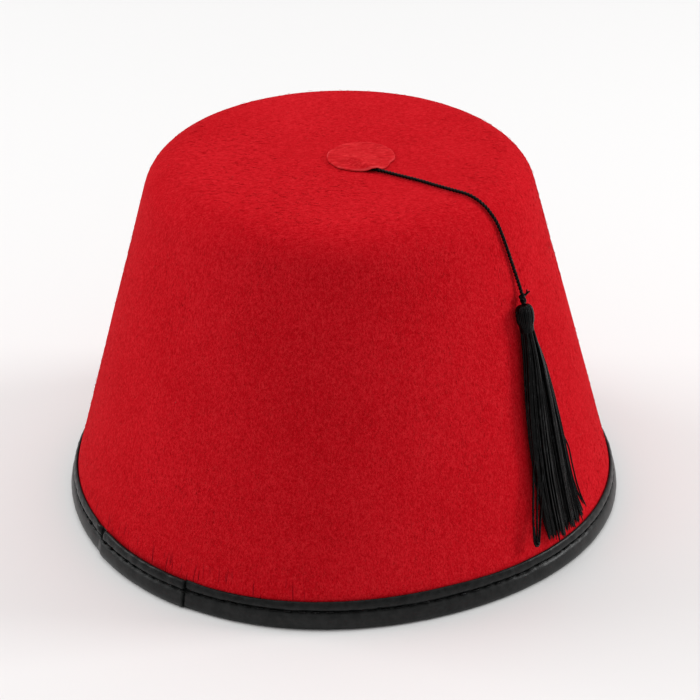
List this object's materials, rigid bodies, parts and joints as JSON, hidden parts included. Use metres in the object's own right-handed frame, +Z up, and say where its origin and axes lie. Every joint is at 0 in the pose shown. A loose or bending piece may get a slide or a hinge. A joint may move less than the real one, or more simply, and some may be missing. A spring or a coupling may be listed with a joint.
{
  "type": "fez hat",
  "caption": "Tapered felt fez with a flat top, soft shoulder, open head hollow, folded rim binding, top patch and a corded side tassel.",
  "frame": {"origin": "centre of the rim on the surface that the hat rests on", "axes": "+Z up along the crown's axis, -Y towards the front, +X towards the side that the tassel hangs on"},
  "size_m": [0.1928, 0.193, 0.1264],
  "materials": {
    "red_felt": "matt pressed needle felt with short fibres",
    "patch_felt": "matt thin felt, lighter red",
    "black_leatherette": "soft satin imitation leather",
    "black_cord": "twisted cord, slight sheen",
    "black_thread": "silky twisted threads"
  },
  "bodies": {
    "root": {"crown": "red_felt", "rim_binding": "black_leatherette", "top_disc": "patch_felt", "tassel_cord": "black_cord", "cord_knot": "black_cord", "tassel_head": "black_thread", "tassel_wrap": "black_thread", "tassel_skirt": "black_thread"}
  },
  "joints": []
}
